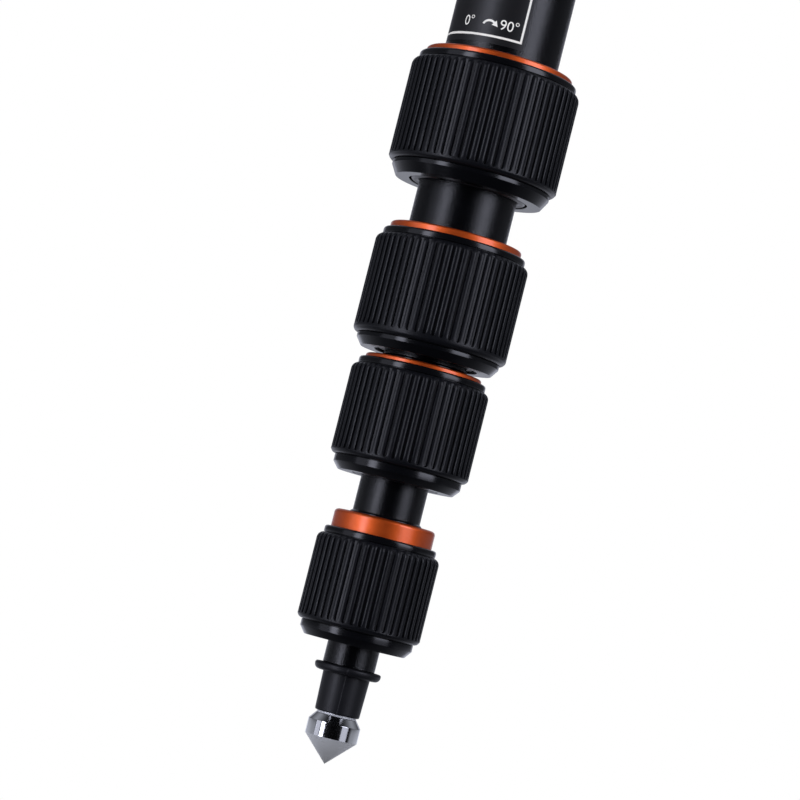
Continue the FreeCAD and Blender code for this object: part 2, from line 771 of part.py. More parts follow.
def make_tab_pin_and_spring():
    """The dowel that crosses the stop's window, and the spring between it and the window's end."""
    pin = primitive(
        "Cylinder",
        "tab_pin",
        Radius="Leg.pin_radius",
        Height="Leg.eye_width",
        Placement__Base__x="-Leg.eye_width / 2",
        Placement__Base__y=pin_place,
        Placement__Base__z="Leg.tab_height",
    )
    pin.Placement.Rotation = FreeCAD.Rotation(FreeCAD.Vector(0, 1, 0), 90)
    pieces.append(pin)

    inside = "Leg.spring_radius - Leg.spring_wall"
    coil = primitive("Cylinder", "spring_coil", Radius="Leg.spring_radius", Height=spring_length)
    bore = primitive("Cylinder", "spring_bore", Radius=inside, Height=spring_length)
    spring = joined("tab_spring", "Cut", [coil, bore])
    spring.Placement.Rotation = FreeCAD.Rotation(FreeCAD.Vector(1, 0, 0), -90)
    bind(spring, Placement__Base__y=f"{pin_place} + Leg.pin_radius", Placement__Base__z="Leg.tab_height")
    pieces.append(spring)


make_leg_casting()
make_pivot_bush("left", -90)
make_pivot_bush("right", 90)
make_angle_tab()
make_tab_pin_and_spring()
for k in TUBES:
    make_tube(k)
for k in LOCKS:
    make_thread_sleeve(k)
    make_accent_ring(k)
    make_lock_nut(k)
    make_grip(k)
    make_collet(k)
for k in INNER_TUBES:
    make_guide_shims(k)
make_foot_sleeve()
make_spike_insert()
make_spike()
doc.recompute()

for item in doc.Objects:
    if "Invalid" in item.State or "Error" in item.State:
        raise RuntimeError(f"{item.Label} is {item.State}")
for piece in pieces:
    if piece.Shape.isNull() or not piece.Shape.isValid():
        raise RuntimeError(f"{piece.Label} has no valid shape")
    if len(piece.Shape.Solids) != 1:
        raise RuntimeError(f"{piece.Label} has {len(piece.Shape.Solids)} solids")

os.makedirs("parts", exist_ok=True)
for piece in pieces:
    piece.Shape.exportStep(f"parts/{piece.Label}.step")
print(f"{len(pieces)} pieces written")
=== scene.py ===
import math

import bmesh
import bpy
import numpy as np
from mathutils import Matrix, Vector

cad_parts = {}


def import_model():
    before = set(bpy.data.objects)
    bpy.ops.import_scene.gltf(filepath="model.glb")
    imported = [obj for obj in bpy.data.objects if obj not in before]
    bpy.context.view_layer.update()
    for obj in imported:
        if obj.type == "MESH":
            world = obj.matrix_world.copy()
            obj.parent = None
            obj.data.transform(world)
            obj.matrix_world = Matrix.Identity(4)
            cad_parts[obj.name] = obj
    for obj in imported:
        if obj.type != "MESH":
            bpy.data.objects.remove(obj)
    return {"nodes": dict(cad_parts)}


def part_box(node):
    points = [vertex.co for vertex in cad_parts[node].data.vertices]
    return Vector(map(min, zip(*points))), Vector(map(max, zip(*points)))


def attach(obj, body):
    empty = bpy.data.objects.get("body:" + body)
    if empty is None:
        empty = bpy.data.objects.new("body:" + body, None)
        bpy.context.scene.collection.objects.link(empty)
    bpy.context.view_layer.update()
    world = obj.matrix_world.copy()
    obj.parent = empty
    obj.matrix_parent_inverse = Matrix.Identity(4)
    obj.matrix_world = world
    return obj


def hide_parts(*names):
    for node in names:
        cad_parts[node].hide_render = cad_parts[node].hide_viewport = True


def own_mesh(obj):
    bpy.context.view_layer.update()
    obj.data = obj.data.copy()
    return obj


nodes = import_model()["nodes"]
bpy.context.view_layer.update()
mm = 0.001

# The picture
# The leg is taken from its outer face with a long lens, from the height of its lowest lock and a little
# upwards. The camera is rolled, so that the leg leans across the picture.

eye = np.array([-2.88, -577.0, -288.0])
upwards, lean = math.radians(3.75), math.radians(14.12)
lens_length, sensor_width = 137.6, 36.0


def leaning_camera(name):
    """A camera at eye that looks along +Y, tipped upwards, with its top then turned by lean towards -X."""
    data = bpy.data.cameras.new(name)
    data.sensor_width = sensor_width
    data.lens = lens_length
    data.clip_start = 0.01
    camera = bpy.data.objects.new(name, data)
    camera.location = eye * mm
    tipped = Matrix.Rotation(math.radians(90) + upwards, 3, "X")
    camera.rotation_euler = (tipped @ Matrix.Rotation(lean, 3, "Z")).to_euler()
    bpy.context.scene.collection.objects.link(camera)
    return camera


bpy.context.scene.camera = leaning_camera("long_lens")
bpy.context.scene.view_settings.view_transform = "Standard"

# The studio
# Two tall soft boxes stand in front, left and right of the camera. The left one has a weaker wing and a thin
# strip beyond it. The right one ends above the foot, where a weaker one goes on. Two dim ones light the back,
# and the rest of the room is dim, so that round black parts keep dark middles.

cool_white = (0.82, 0.84, 1.0)


def soft_box(name, angle, width, height, level, radiance, distance=0.95):
    """A tall lamp that faces the leg, at an angle to the right of the camera's line. It starts facing -Z, is
    tipped up to face +Y, and turns with its place round the leg. Its power is pi times its radiance and its
    area."""
    data = bpy.data.lights.new(name, "AREA")
    data.shape = "RECTANGLE"
    data.size = width
    data.size_y = height
    data.energy = math.pi * radiance * width * height
    data.color = cool_white
    lamp = bpy.data.objects.new(name, data)
    turn = math.radians(angle)
    lamp.location = (distance * math.sin(turn), -distance * math.cos(turn), level)
    lamp.rotation_euler = (math.radians(90), 0, turn)
    lamp.visible_camera = False
    bpy.context.scene.collection.objects.link(lamp)


soft_boxes = {
    "left": (-47, 0.25, 1.5, -0.25, 5.6),
    "wing": (-69, 0.30, 1.5, -0.25, 0.75),
    "edge": (-80, 0.05, 1.5, -0.25, 1.2),
    "right": (52, 0.50, 1.0, 0.28, 4.4),
    "low": (52, 0.50, 0.5, -0.47, 0.7),
    "back_left": (-163, 0.30, 1.5, -0.25, 0.45),
    "back_right": (163, 0.30, 1.5, -0.25, 0.45),
}  # angle, width, height, level and radiance
for place, settings in soft_boxes.items():
    soft_box("soft_box_" + place, *settings)


def lit_room(white=1.0, walls=0.11, behind=0.28, table=0.26, above=0.3, fill=0.5):
    """The world. Camera rays see white. Reflections see dim walls beside and behind the leg, a paler ground
    low behind it, the lit edge of a table just under the camera's level, a pale ceiling at the back, and
    nothing towards the camera. Matt surfaces get an even fill. All but the camera's white is tinted cool.
    Each share is a smooth step of the direction's part along an axis."""
    world = bpy.data.worlds.new("white_room")
    bpy.context.scene.world = world
    world.use_nodes = True
    tree = world.node_tree
    tree.nodes.clear()
    join = tree.links.new

    def feed(socket, value):
        if isinstance(value, bpy.types.NodeSocket):
            join(value, socket)
        else:
            socket.default_value = value

    def calculate(operation, first, second):
        node = tree.nodes.new("ShaderNodeMath")
        node.operation = operation
        feed(node.inputs[0], first)
        feed(node.inputs[1], second)
        return node.outputs[0]

    def step(value, low, high, brightness):
        node = tree.nodes.new("ShaderNodeMapRange")
        node.interpolation_type = "SMOOTHSTEP"
        node.inputs["From Min"].default_value = low
        node.inputs["From Max"].default_value = high
        node.inputs["To Max"].default_value = brightness
        join(value, node.inputs["Value"])
        return node.outputs["Result"]

    def mix(share, first, second):
        node = tree.nodes.new("ShaderNodeMix")
        feed(node.inputs["Factor"], share)
        feed(node.inputs["A"], first)
        feed(node.inputs["B"], second)
        return node.outputs["Result"]

    direction = tree.nodes.new("ShaderNodeSeparateXYZ")
    join(tree.nodes.new("ShaderNodeTexCoord").outputs["Generated"], direction.inputs[0])
    y = direction.outputs["Y"]
    down = calculate("MULTIPLY", direction.outputs["Z"], -1.0)
    ground = calculate("MULTIPLY", step(y, 0.1, 0.8, 1.0), step(down, -0.05, 0.12, behind))
    ceiling = calculate("MULTIPLY", step(y, -0.1, 0.4, 1.0), step(down, -0.3, -0.8, above))
    table_top = calculate("MULTIPLY", step(down, 0.005, 0.025, 1.0), step(down, 0.35, 0.15, table))
    table_edge = calculate("MULTIPLY", table_top, step(y, -0.25, 0.0, 1.0))
    walls_and_ground = calculate("ADD", step(y, -0.3, 0.05, walls), ground)
    mirrored = calculate("ADD", walls_and_ground, calculate("ADD", table_edge, ceiling))
    path = tree.nodes.new("ShaderNodeLightPath")
    clear = calculate("MAXIMUM", path.outputs["Is Glossy Ray"], path.outputs["Is Transmission Ray"])
    strength = mix(path.outputs["Is Camera Ray"], mix(clear, fill, mirrored), white)
    tint = tree.nodes.new("ShaderNodeMix")
    tint.data_type = "RGBA"
    join(path.outputs["Is Camera Ray"], tint.inputs["Factor"])
    cool, pure = [socket for socket in tint.inputs if socket.type == "RGBA"]
    cool.default_value = (0.84, 0.87, 1.0, 1)
    pure.default_value = (1, 1, 1, 1)
    light = tree.nodes.new("ShaderNodeBackground")
    join(tint.outputs[2], light.inputs["Color"])
    join(strength, light.inputs["Strength"])
    join(light.outputs[0], tree.nodes.new("ShaderNodeOutputWorld").inputs[0])


lit_room()

# Floor
# A round matt floor lies far below the leg and takes its shadow. It is pale under the leg, and its paint runs
# into the white of the room with distance. Reflections look through it at the room's own ground.


def new_finish(name):
    """An empty finish: the material, its Principled shader, one shorthand that adds a node with its settings
    and socket values, and one that joins two sockets."""
    material = bpy.data.materials.new(name)
    material.use_nodes = True
    tree = material.node_tree

    def add(kind, **settings):
        node = tree.nodes.new("ShaderNode" + kind)
        for key, value in settings.items():
            if hasattr(node, key):
                setattr(node, key, value)
            else:
                node.inputs[key.replace("_", " ")].default_value = value
        return node

    return material, tree.nodes["Principled BSDF"], add, tree.links.new


def pale_floor(level=-1.2, near=0.7, far=2.1, reach=14.0, steps=96):
    """A disc of rings round its middle. The share of white is a smooth step of the distance from the origin,
    from a half to the whole."""
    turn = np.linspace(0, 2 * math.pi, steps, endpoint=False)
    rings = np.array([near, far, reach])
    flat = np.stack([np.outer(rings, np.cos(turn)), np.outer(rings, np.sin(turn))], -1).reshape(-1, 2)
    points = np.vstack([np.column_stack([flat, np.full(len(flat), level)]), (0, 0, level)])
    here = np.arange(steps)
    after = (here + 1) % steps
    inner = np.column_stack([np.full(steps, len(points) - 1), here, after]).tolist()
    outer = [np.column_stack([here + k, here + k + steps, after + k + steps, after + k]) for k in (0, steps)]
    mesh = bpy.data.meshes.new("pale_floor")
    mesh.from_pydata(points.tolist(), [], inner + np.vstack(outer).tolist())
    floor = bpy.data.objects.new("pale_floor", mesh)
    bpy.context.scene.collection.objects.link(floor)

    material, shader, add, join = new_finish("pale_floor")
    shader.inputs["Base Color"].default_value = (0.82, 0.79, 0.68, 1)
    shader.inputs["Roughness"].default_value = 0.9
    distance = add("VectorMath", operation="LENGTH")
    join(add("TexCoord").outputs["Object"], distance.inputs[0])
    share = add("MapRange", interpolation_type="SMOOTHSTEP", To_Min=0.5)
    share.inputs["From Min"].default_value = abs(level) + 0.1
    share.inputs["From Max"].default_value = far
    join(distance.outputs["Value"], share.inputs["Value"])
    white = add("Emission")
    path = add("LightPath")
    join(path.outputs["Is Camera Ray"], white.inputs["Strength"])
    paint = add("MixShader")
    join(share.outputs["Result"], paint.inputs[0])
    join(shader.outputs[0], paint.inputs[1])
    join(white.outputs[0], paint.inputs[2])
    floor_finish = add("MixShader")
    join(path.outputs["Is Glossy Ray"], floor_finish.inputs[0])
    join(paint.outputs[0], floor_finish.inputs[1])
    join(add("BsdfTransparent").outputs[0], floor_finish.inputs[2])
    join(floor_finish.outputs[0], material.node_tree.nodes["Material Output"].inputs[0])
    mesh.materials.append(material)


pale_floor()

# Leg tubes
# Five drawn aluminium tubes with 1 mm walls, each half a millimetre clear of the next. They are powder-coated
# a blue-tinged black with a fine grain, and tubes 1 to 4 have a pair of keyways broached in the bore.

tube_wall = 1.0
keyway_half_width = 1.15
keyway_depth = 0.4


def reach(node):
    """A round node's largest radius, and its lowest and highest point, in millimetres."""
    low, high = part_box(node)
    return high.x / mm, low.z / mm, high.z / mm


def outline_of(corners, steps=7):
    """The outline of a turned piece. Each corner is (radius, height, rounding) in millimetres: its two
    straight sides are joined by a tangent arc, which swings from one tangent point to the other evenly."""
    points = []
    count = len(corners)
    for i, (radius, height, rounding) in enumerate(corners):
        corner = np.array([radius, height])
        if rounding == 0:
            points.append(corner[None])
            continue
        back = np.array(corners[i - 1][:2]) - corner
        ahead = np.array(corners[(i + 1) % count][:2]) - corner
        back /= np.linalg.norm(back)
        ahead /= np.linalg.norm(ahead)
        half = math.acos(np.clip(back @ ahead, -1, 1)) / 2
        middle = corner + (back + ahead) / np.linalg.norm(back + ahead) * rounding / math.sin(half)
        start = corner + back * rounding / math.tan(half) - middle
        end = corner + ahead * rounding / math.tan(half) - middle
        swing = math.pi - 2 * half
        share = np.linspace(0, 1, steps)[:, None]
        arc = np.sin((1 - share) * swing) * start + np.sin(share * swing) * end
        points.append(middle + arc / math.sin(swing))
    return np.vstack(points)


def turned(name, outline, angles=192, carve=None, whole=True):
    """A closed surface of revolution: x = r sin a, y = -r cos a, z = height, where r and the height run round
    the outline and a runs round the leg's axis, from the outer face. carve may change r at each point. One
    that isn't whole stops at its first and last angle, and the outline closes it there."""
    if np.isscalar(angles):
        angles = np.linspace(-math.pi, math.pi, angles, endpoint=False)
    a, radius = np.meshgrid(angles, outline[:, 0], indexing="ij")
    height = np.broadcast_to(outline[:, 1], a.shape)
    if carve:
        radius = carve(a, radius, height)
    points = np.stack([radius * np.sin(a), -radius * np.cos(a), height], -1).reshape(-1, 3) * mm
    rounds, along = a.shape
    i, j = np.meshgrid(np.arange(rounds), np.arange(along), indexing="ij")
    i_next, j_next = (i + 1) % rounds, (j + 1) % along
    quads = np.stack([i * along + j, i_next * along + j, i_next * along + j_next, i * along + j_next], -1)
    faces = (quads if whole else quads[:-1]).reshape(-1, 4).tolist()
    if not whole:
        faces += [list(range(along))[::-1], list(range((rounds - 1) * along, rounds * along))]
    mesh = bpy.data.meshes.new(name)
    mesh.from_pydata(points.tolist(), [], faces)
    if outline[:, 0].min() == 0:
        solid = bmesh.new()
        solid.from_mesh(mesh)
        bmesh.ops.remove_doubles(solid, verts=solid.verts, dist=1e-7)
        solid.to_mesh(mesh)
        solid.free()
    return shown(name, mesh)


def shown(name, mesh, crease=35):
    """An object for a mesh, smooth except where two faces meet at more than the crease angle."""
    mesh.validate()
    mesh.polygons.foreach_set("use_smooth", np.ones(len(mesh.polygons), bool))
    mesh.set_sharp_from_angle(angle=math.radians(crease))
    piece = bpy.data.objects.new(name, mesh)
    bpy.context.scene.collection.objects.link(piece)
    even = piece.modifiers.new("even_shading", "WEIGHTED_NORMAL")
    even.keep_sharp = True
    return piece


def fit(piece, finish, body, slot, *stands_for):
    """Give a piece its finish, the body that it moves with, and the nodes that it stands for, which are
    hidden. Its slot is not used.
    """
    piece.data.materials.append(finish)
    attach(piece, body)
    if stands_for:
        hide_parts(*stands_for)


def powder_coat(name="powder_coat", colour=(0.0012, 0.0013, 0.0018, 1), grain=3800, rough=0.22):
    """A satin powder coat: a fine orange peel in the bump, and a roughness that drifts a little."""
    material, shader, add, join = new_finish(name)
    where = add("TexCoord")
    peel = add("TexNoise", Scale=grain, Detail=2.0, Roughness=0.6)
    drift = add("TexNoise", Scale=90.0, Detail=3.0)
    join(where.outputs["Object"], peel.inputs["Vector"])
    join(where.outputs["Object"], drift.inputs["Vector"])
    satin = add("MapRange", To_Min=rough - 0.05, To_Max=rough + 0.05)
    join(drift.outputs["Fac"], satin.inputs["Value"])
    join(satin.outputs["Result"], shader.inputs["Roughness"])
    bump = add("Bump", Strength=1.0, Distance=0.000055)
    join(peel.outputs["Fac"], bump.inputs["Height"])
    join(bump.outputs["Normal"], shader.inputs["Normal"])
    shader.inputs["Base Color"].default_value = colour
    shader.inputs["Specular IOR Level"].default_value = 0.38
    return material


def keyways(bore):
    """A pair of keyways at +X and -X: where the bore's wall is within half a width of that line, its radius
    grows by the keyway's depth."""

    def cut(a, radius, height):
        inside = radius < bore + tube_wall / 2
        near = np.abs(radius * np.cos(a)) < keyway_half_width
        return radius + keyway_depth * (inside & near)

    return cut


tube_black = powder_coat()
section_of = {1: "root", 2: "section_2", 3: "section_3", 4: "section_4", 5: "section_5"}
for k in range(1, 6):
    radius, low, high = reach(f"tube_{k}")
    bore = radius - tube_wall
    outline = outline_of([(bore, low, 0.15), (radius, low, 0.2), (radius, high, 0.2), (bore, high, 0.15)], 4)
    edge = keyway_half_width / bore
    quarter = np.array([-1, 1]) * math.pi / 2
    steep = np.concatenate([q + s * edge * np.array([0.99, 1.01]) for q in quarter for s in (-1, 1)])
    angles = np.unique(np.concatenate([np.linspace(-math.pi, math.pi, 192, endpoint=False), steep]))
    piece = turned(f"leg_tube_{k}", outline, angles, keyways(bore) if k < 5 else None)
    fit(piece, tube_black, section_of[k], "tube_black", f"tube_{k}")

# Threaded sleeves
# A turned and black-anodised ferrule is bonded on the lower end of tubes 1 to 4, which stand on its stop. The
# nut's thread runs on it, a cone in its mouth squeezes the collet, and a thin neck holds the orange collar.

thread_wall, thread_lead, thread_depth, thread_rows = 2.0, 2.5, 0.55, 150
neck_wall, neck_bevel, bond_gap = 0.45, 0.32, 0.05
cone_flare, cone_depth, stop_lip, stop_height = 0.9, 6.0, 0.3, 6.6


def gloss_black(name="gloss_black", colour=(0.0025, 0.0027, 0.0034, 1), rough=0.19, gloss=0.4):
    """Gloss black anodising over a turned surface: fine rings round the leg's axis, from noise that is
    stretched across it, in the bump and a little in the roughness."""
    material, shader, add, join = new_finish(name)
    where = add("TexCoord")
    stretch = add("Mapping", Scale=(60, 60, 5000))
    join(where.outputs["Object"], stretch.inputs["Vector"])
    rings = add("TexNoise", Scale=1.0, Detail=3.0)
    join(stretch.outputs["Vector"], rings.inputs["Vector"])
    satin = add("MapRange", To_Min=rough - 0.03, To_Max=rough + 0.03)
    join(rings.outputs["Fac"], satin.inputs["Value"])
    join(satin.outputs["Result"], shader.inputs["Roughness"])
    bump = add("Bump", Strength=0.15, Distance=0.000005)
    join(rings.outputs["Fac"], bump.inputs["Height"])
    join(bump.outputs["Normal"], shader.inputs["Normal"])
    shader.inputs["Base Color"].default_value = colour
    shader.inputs["Specular IOR Level"].default_value = gloss
    return material


def thread(crest, low, high, lead, depth):
    """A thread cut in the outer wall: r falls from the crest by a triangle wave of height / lead - angle /
    turn, cut off flat at crest and root. The wave fades out at both ends of the threaded stretch."""

    def cut(a, radius, height):
        phase = (height / lead - a / (2 * math.pi)) % 1
        wave = np.clip(2.4 * np.abs(phase - 0.5) - 0.1, 0, 1)
        fade = np.clip((height - low) / lead, 0, 1) * np.clip((high - height) / lead, 0, 1)
        outside = radius > crest - 0.3
        return radius - depth * wave * np.clip(4 * fade, 0, 1) * outside

    return cut


lock_black = gloss_black()
for k in range(1, 5):
    crest, low, high = reach(f"thread_sleeve_{k}")
    tube = reach(f"tube_{k}")[0]
    ring_low = reach(f"accent_ring_{k}")[1]
    corners = [
        (tube + cone_flare, low, 0.1),
        (crest, low, 0.3),
        (crest, ring_low, 0.1),
        (tube + neck_wall, ring_low, 0.0),
        (tube + neck_wall, high - neck_bevel, 0.1),
        (tube + 2 * bond_gap, high, 0.0),
        (tube + bond_gap, high, 0.0),
        (tube + bond_gap, low + stop_height, 0.0),
        (tube - stop_lip, low + stop_height, 0.0),
        (tube - stop_lip, low + cone_depth, 0.0),
    ]
    outline = outline_of(corners, 4)
    wall = np.linspace(low + 0.31, ring_low - 0.11, thread_rows)
    threaded = np.column_stack([np.full(thread_rows, crest), wall])
    first = np.argmax(outline[:, 0] >= crest - 1e-6)
    outline = np.vstack([outline[: first + 1], threaded, outline[first + 2:]])
    cut = thread(crest, low + 0.3, ring_low, thread_lead, thread_depth)
    piece = turned(f"threaded_sleeve_{k}", outline, 120, cut)
    fit(piece, lock_black, section_of[k], "lock_black", f"thread_sleeve_{k}")

# Orange collars
# An aluminium collar is pressed on each sleeve's neck, bead-blasted and anodised orange. It shows how far the
# nut is unscrewed: a sliver on locks 1 to 3, and a whole turn of the thread on lock 4.

ring_gap = 0.05
ring_tops = {1: (0.0, 0.45), 2: (0.2, 0.45), 3: (-0.3, 0.45), 4: (-0.15, 0.75)}  # lift, and rounding


def orange_anodised(name="orange_anodised", colour=(0.86, 0.145, 0.0225, 1), rough=0.5):
    """Satin orange anodising: a metal with the dyed layer's colour, a little cloudy, and the fine grain of
    the blasting."""
    material, shader, add, join = new_finish(name)
    where = add("TexCoord")
    grain = add("TexNoise", Scale=6500.0, Detail=2.0, Roughness=0.7)
    cloud = add("TexNoise", Scale=420.0, Detail=3.0)
    join(where.outputs["Object"], grain.inputs["Vector"])
    join(where.outputs["Object"], cloud.inputs["Vector"])
    tone = add("Mix", data_type="RGBA")
    tone.inputs["A"].default_value = colour
    tone.inputs["B"].default_value = (colour[0] * 0.8, colour[1] * 0.72, colour[2] * 0.7, 1)
    join(cloud.outputs["Fac"], tone.inputs["Factor"])
    join(tone.outputs["Result"], shader.inputs["Base Color"])
    bump = add("Bump", Strength=0.35, Distance=0.000015)
    join(grain.outputs["Fac"], bump.inputs["Height"])
    join(bump.outputs["Normal"], shader.inputs["Normal"])
    shader.inputs["Metallic"].default_value = 1.0
    shader.inputs["Roughness"].default_value = rough
    shader.inputs["Coat Weight"].default_value = 0.8
    shader.inputs["Coat Roughness"].default_value = 0.22
    return material


ring_orange = orange_anodised()
for k in range(1, 5):
    radius, low, high = reach(f"accent_ring_{k}")
    tube = reach(f"tube_{k}")[0]
    inner = tube + neck_wall + ring_gap
    lift, rounding = ring_tops[k]
    top = high + lift
    corners = [(inner, low, 0.1), (radius, low, 0.2), (radius, top, rounding), (inner, top, 0.25)]
    piece = turned(f"orange_collar_{k}", outline_of(corners, 9), 240)
    fit(piece, ring_orange, section_of[k], "ring_orange", f"accent_ring_{k}")

# Lock nuts
# Each nut is turned from aluminium and anodised gloss black. A skirt runs up over the collar, the floor
# closes in round the collet, and the lips above and below the grip keep it in place.

upper_lip, lip_chamfer, core_depth, nut_floor = 1.3, 1.1, 0.3, 2.4
mouth_reach, skirt_reach, skirt_height, thread_gap = 2.05, 3.3, 5.35, 0.05
lower_lips = {1: (1.9, 2.7), 2: (1.5, 2.3), 3: (1.3, 2.7), 4: (1.4, 2.7)}  # the land starts, and ends

for k in range(1, 5):
    lip, low, high = reach(f"lock_nut_{k}")
    tube = reach(f"tube_{k}")[0]
    inner_tube = reach(f"tube_{k + 1}")[0]
    mouth = inner_tube + mouth_reach
    skirt = tube + skirt_reach
    bore = tube + thread_wall + thread_gap
    skirt_bottom = high - skirt_height
    land_low, land_high = lower_lips[k]
    corners = [
        (mouth, low, 0.15),
        (lip - lip_chamfer, low, 0.15),
        (lip, low + land_low, 0.2),
        (lip, low + land_high, 0.12),
        (lip - core_depth, low + land_high, 0.0),
        (lip - core_depth, high - upper_lip, 0.0),
        (lip, high - upper_lip, 0.12),
        (lip, high, 0.5),
        (skirt, high, 0.15),
        (skirt, skirt_bottom, 0.0),
        (bore, skirt_bottom, 0.2),
        (bore, low + nut_floor, 0.0),
        (mouth, low + nut_floor, 0.2),
    ]
    piece = turned(f"nut_body_{k}", outline_of(corners), 240)
    fit(piece, lock_black, f"lock_nut_{k}", "lock_black", f"lock_nut_{k}")

# Grips
# A moulded rubber sleeve is stretched on each nut. Close vertical grooves run out through its top shoulder
# and end in a half round a little above the bottom edge.

groove_counts = {1: 63, 2: 58, 3: 53, 4: 48}
groove_depth, groove_floor, groove_mouth, groove_start, rib_crown = 0.5, 0.24, 0.38, 1.4, 0.13
grip_reach, lip_gap, lower_round, upper_round = 4.05, 0.05, 1.05, 1.35


def matt_rubber(name="matt_rubber", colour=(0.0045, 0.0048, 0.0062, 1), rough=0.33):
    """Moulded rubber: a fine mould texture in the bump and a slight bloom that varies the roughness."""
    material, shader, add, join = new_finish(name)
    where = add("TexCoord")
    mould = add("TexNoise", Scale=7000.0, Detail=2.0)
    bloom = add("TexNoise", Scale=260.0, Detail=4.0)
    join(where.outputs["Object"], mould.inputs["Vector"])
    join(where.outputs["Object"], bloom.inputs["Vector"])
    dull = add("MapRange", To_Min=rough - 0.07, To_Max=rough + 0.07)
    join(bloom.outputs["Fac"], dull.inputs["Value"])
    join(dull.outputs["Result"], shader.inputs["Roughness"])
    bump = add("Bump", Strength=0.3, Distance=0.00001)
    join(mould.outputs["Fac"], bump.inputs["Height"])
    join(bump.outputs["Normal"], shader.inputs["Normal"])
    shader.inputs["Base Color"].default_value = colour
    shader.inputs["Specular IOR Level"].default_value = 0.25
    return material


def grooves(count, outer, low):
    """Vertical grooves: away from a groove's middle line the wall rises from the root to the outside as a
    smooth step. Below the groove's end the distance is taken to the end of that line, so that the end is half
    round. The surface is the lower of the groove's and the sleeve's own, so the grooves run out on the
    shoulder. Each rib is flat with round edges: it falls off as the cube of the way from its middle line."""

    def cut(a, radius, height):
        pitch = 2 * math.pi / count
        across = outer * ((a + pitch / 2) % pitch - pitch / 2)
        below = np.clip(low + groove_start + groove_mouth - height, 0, None)
        away = np.hypot(across, below)
        share = np.clip((away - groove_floor) / (groove_mouth - groove_floor), 0, 1)
        rise = share * share * (3 - 2 * share)
        root = outer - groove_depth
        wall = root + rise * groove_depth + (share >= 1) * groove_depth
        half_pitch = outer * pitch / 2
        off_middle = np.clip((half_pitch - np.abs(across)) / (half_pitch - groove_mouth), 0, 1)
        ribbed = np.clip((height - low - groove_start) / groove_start, 0, 1)
        crowned = radius - rib_crown * off_middle ** 3 * ribbed
        return np.where(radius > root - 0.2, np.minimum(crowned, wall), radius)

    return cut


grip_rubber = matt_rubber()
for k in range(1, 5):
    outer, low, high = reach(f"grip_{k}")
    tube = reach(f"tube_{k}")[0]
    inner = tube + grip_reach
    edge = reach(f"lock_nut_{k}")[1] + lower_lips[k][1] + lip_gap
    corners = [
        (inner, edge, 0.0),
        (outer, edge, lower_round),
        (outer, high, upper_round),
        (inner, high, 0.0),
    ]
    outline = outline_of(corners, 12)
    end = low + groove_start
    # close rows at the half-round ends, and a few up the ribs
    rows = np.concatenate([np.linspace(end - 0.15, end + 0.6, 12), np.linspace(end + 1.2, high - 1.4, 4)])
    upward = np.flatnonzero(outline[:, 0] >= outer - 1e-6)
    wall = np.column_stack([np.full(len(rows), outer), rows])
    outline = np.vstack([outline[: upward[0] + 1], wall, outline[upward[-1]:]])
    pitch = 2 * math.pi / groove_counts[k]
    across = np.array([0, 0.14, 0.23, 0.27, 0.31, 0.35, 0.39, 0.45, 0.52, 0.62]) / outer
    within = np.concatenate([-across[:0:-1], across, [pitch / 2]])
    angles = (np.arange(groove_counts[k])[:, None] * pitch + within).ravel()
    piece = turned(f"ribbed_grip_{k}", outline, angles, grooves(groove_counts[k], outer, low))
    fit(piece, grip_rubber, f"lock_nut_{k}", "grip_rubber", f"grip_{k}")

# Turn label
# A thin satin film is wrapped round the first tube above its lock and printed white: an outline, and a scale
# from 0 to 90 degrees with a turning arrow. It tells how far the nuts turn.

label_width, label_height, label_low, label_right = 24.0, 14.0, -180.7, 15.5  # the last in degrees
film_margin, film_foot, film_gap, film_thickness = 0.6, 1.2, 0.002, 0.03
print_thickness, line_width, strip_width = 0.008, 0.42, 0.4
zero_left, arrow_middle, quarter_left = -12.6, -6.9, -4.9  # from the right line
marks_height, text_size = 1.75, 2.75
arc_inner, arc_outer, arc_from, arc_to = 1.15, 1.55, 155, 50
head_inner, head_outer, head_length = 0.75, 1.95, 1.1


def flat_outline(curve, points):
    """Add a closed outline of straight stretches to a filled flat curve."""
    count = len(points)
    spline = curve.splines.new("POLY")
    spline.points.add(count - 1)
    spline.points.foreach_set("co", np.column_stack([points, np.zeros(count), np.ones(count)]).ravel())
    spline.use_cyclic_u = True


def printed(name, flat, x, y, radius):
    """A flat curve or text, in millimetres, as a thin raised print round the tube. It is cut into upright
    strips and wrapped: the angle is its distance from the label's right line over the radius."""
    flat.extrude = print_thickness / 2
    source = bpy.data.objects.new(name + "_flat", flat)
    bpy.context.scene.collection.objects.link(source)
    bpy.context.view_layer.update()
    mesh = bpy.data.meshes.new_from_object(source.evaluated_get(bpy.context.evaluated_depsgraph_get()))
    bpy.data.objects.remove(source)
    solid = bmesh.new()
    solid.from_mesh(mesh)
    bmesh.ops.remove_doubles(solid, verts=solid.verts, dist=1e-5)
    across = [vertex.co.x for vertex in solid.verts]
    for cut in np.arange(min(across), max(across), strip_width)[1:]:
        everything = solid.verts[:] + solid.edges[:] + solid.faces[:]
        bmesh.ops.bisect_plane(solid, geom=everything, plane_co=(cut, 0, 0), plane_no=(1, 0, 0))
    solid.to_mesh(mesh)
    solid.free()
    points = np.empty(len(mesh.vertices) * 3)
    mesh.vertices.foreach_get("co", points)
    points = points.reshape(-1, 3)
    turn = math.radians(label_right) + (points[:, 0] + x) / radius
    out = radius + points[:, 2] + print_thickness / 2
    wrapped = np.column_stack([out * np.sin(turn), -out * np.cos(turn), label_low + y + points[:, 1]]) * mm
    mesh.vertices.foreach_set("co", wrapped.ravel())
    return shown(name, mesh, 30)


